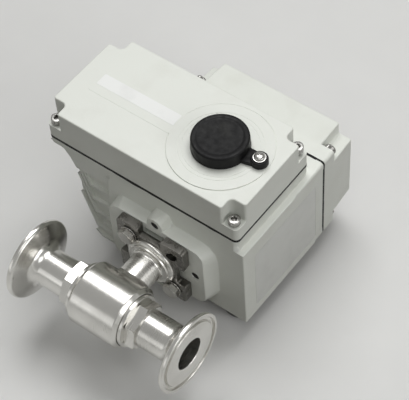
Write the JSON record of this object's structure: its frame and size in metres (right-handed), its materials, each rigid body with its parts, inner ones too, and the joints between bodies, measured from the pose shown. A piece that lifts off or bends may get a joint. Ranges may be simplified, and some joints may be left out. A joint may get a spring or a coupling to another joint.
{
  "type": "sanitary ball valve",
  "caption": "Stainless sanitary ball valve with clamp ferrules, turned by a small electric quarter-turn actuator with a gear train, a rear cover window and a rubber override cap.",
  "frame": {"origin": "centre of the ball, where the pipe line and the stem axis cross", "axes": "+X along the pipe, +Y along the stem towards the actuator, +Z out of the gear cover"},
  "size_m": [0.1383, 0.1856, 0.1266],
  "materials": {
    "polished_steel": "bright polished stainless steel",
    "screw_steel": "plain stainless fasteners",
    "machine_steel": "turned and milled steel",
    "paint": "satin off-white powder coat on cast aluminium",
    "black_rubber": "soft black rubber",
    "ptfe": "white seat and packing plastic",
    "bronze": "machined bronze",
    "nylon": "natural nylon",
    "black_plastic": "black moulded plastic",
    "board": "green solder mask",
    "yellow_plastic": "yellow dial",
    "clear_window": "clear window"
  },
  "bodies": {
    "valve_and_housing": {"valve_body": "polished_steel", "end_cap_left": "polished_steel", "end_cap_right": "polished_steel", "seat_left": "ptfe", "seat_right": "ptfe", "body_seal_left": "ptfe", "body_seal_right": "ptfe", "thrust_washer": "ptfe", "stem_packing": "ptfe", "packing_gland": "machine_steel", "pad_bolt_1": "screw_steel", "pad_bolt_2": "screw_steel", "pad_washer_1": "screw_steel", "pad_washer_2": "screw_steel", "housing": "paint", "gear_cover": "paint", "rear_cover": "paint", "gear_cover_gasket": "black_rubber", "rear_cover_gasket": "black_rubber", "gear_cover_screw_1": "screw_steel", "gear_cover_screw_2": "screw_steel", "gear_cover_screw_3": "screw_steel", "gear_cover_screw_4": "screw_steel", "rear_cover_screw_1": "screw_steel", "rear_cover_screw_2": "screw_steel", "rear_cover_screw_3": "screw_steel", "rear_cover_screw_4": "screw_steel", "cap_screw": "screw_steel", "front_bush": "bronze", "shaft_seal": "black_rubber", "rear_bush": "bronze", "worm_bearing_lower": "machine_steel", "worm_bearing_upper": "machine_steel", "motor": "machine_steel", "gear_plate": "machine_steel", "switch_bracket": "machine_steel", "limit_switch_1": "black_plastic", "limit_switch_2": "black_plastic", "motor_capacitor": "machine_steel", "circuit_board": "board", "terminal_block": "black_plastic", "indicator_window": "clear_window", "gland_body_1": "black_plastic", "gland_body_2": "black_plastic", "gland_nut_1": "black_plastic", "gland_nut_2": "black_plastic"},
    "output_train": {"ball": "polished_steel", "stem": "polished_steel", "output_shaft": "machine_steel", "worm_wheel": "bronze", "cam_open": "nylon", "cam_close": "black_plastic", "indicator_disc": "yellow_plastic"},
    "worm": {"worm_shaft": "machine_steel", "worm_gear": "machine_steel"},
    "second_idler": {"idler_gear_2": "nylon"},
    "first_idler": {"idler_gear_1": "nylon"},
    "motor_rotor": {"motor_pinion": "machine_steel"},
    "cap": {"override_cap": "black_rubber"}
  },
  "joints": [
    {"name": "stem_turn", "type": "hinge", "parent": "valve_and_housing", "child": "output_train", "pos_m": [0, 0, 0], "axis": [0, 1, 0], "range_deg": [0, 90]},
    {"name": "worm_turn", "type": "hinge", "parent": "valve_and_housing", "child": "worm", "pos_m": [0.0175, 0.08475, 0], "axis": [0, 0, 1], "range_deg": [0, 1800]},
    {"name": "second_idler_turn", "type": "hinge", "parent": "valve_and_housing", "child": "second_idler", "pos_m": [-0.0025, 0.08475, 0.0453], "axis": [0, 0, 1], "range_deg": [-2700, 0]},
    {"name": "first_idler_turn", "type": "hinge", "parent": "valve_and_housing", "child": "first_idler", "pos_m": [-0.0225, 0.08475, 0.0453], "axis": [0, 0, 1], "range_deg": [0, 4050]},
    {"name": "motor_turn", "type": "hinge", "parent": "valve_and_housing", "child": "motor_rotor", "pos_m": [-0.042, 0.08475, 0.0453], "axis": [0, 0, 1], "range_deg": [-8100, 0]},
    {"name": "cap_swing", "type": "hinge", "parent": "valve_and_housing", "child": "cap", "pos_m": [0.04197, 0.08732, 0.0684], "axis": [0, 0, 1], "range_deg": [0, 120]}
  ],
  "couplings": [
    {"joint": "worm_turn", "follows": "stem_turn", "ratio": 20},
    {"joint": "second_idler_turn", "follows": "stem_turn", "ratio": -30},
    {"joint": "first_idler_turn", "follows": "stem_turn", "ratio": 45},
    {"joint": "motor_turn", "follows": "stem_turn", "ratio": -90}
  ]
}
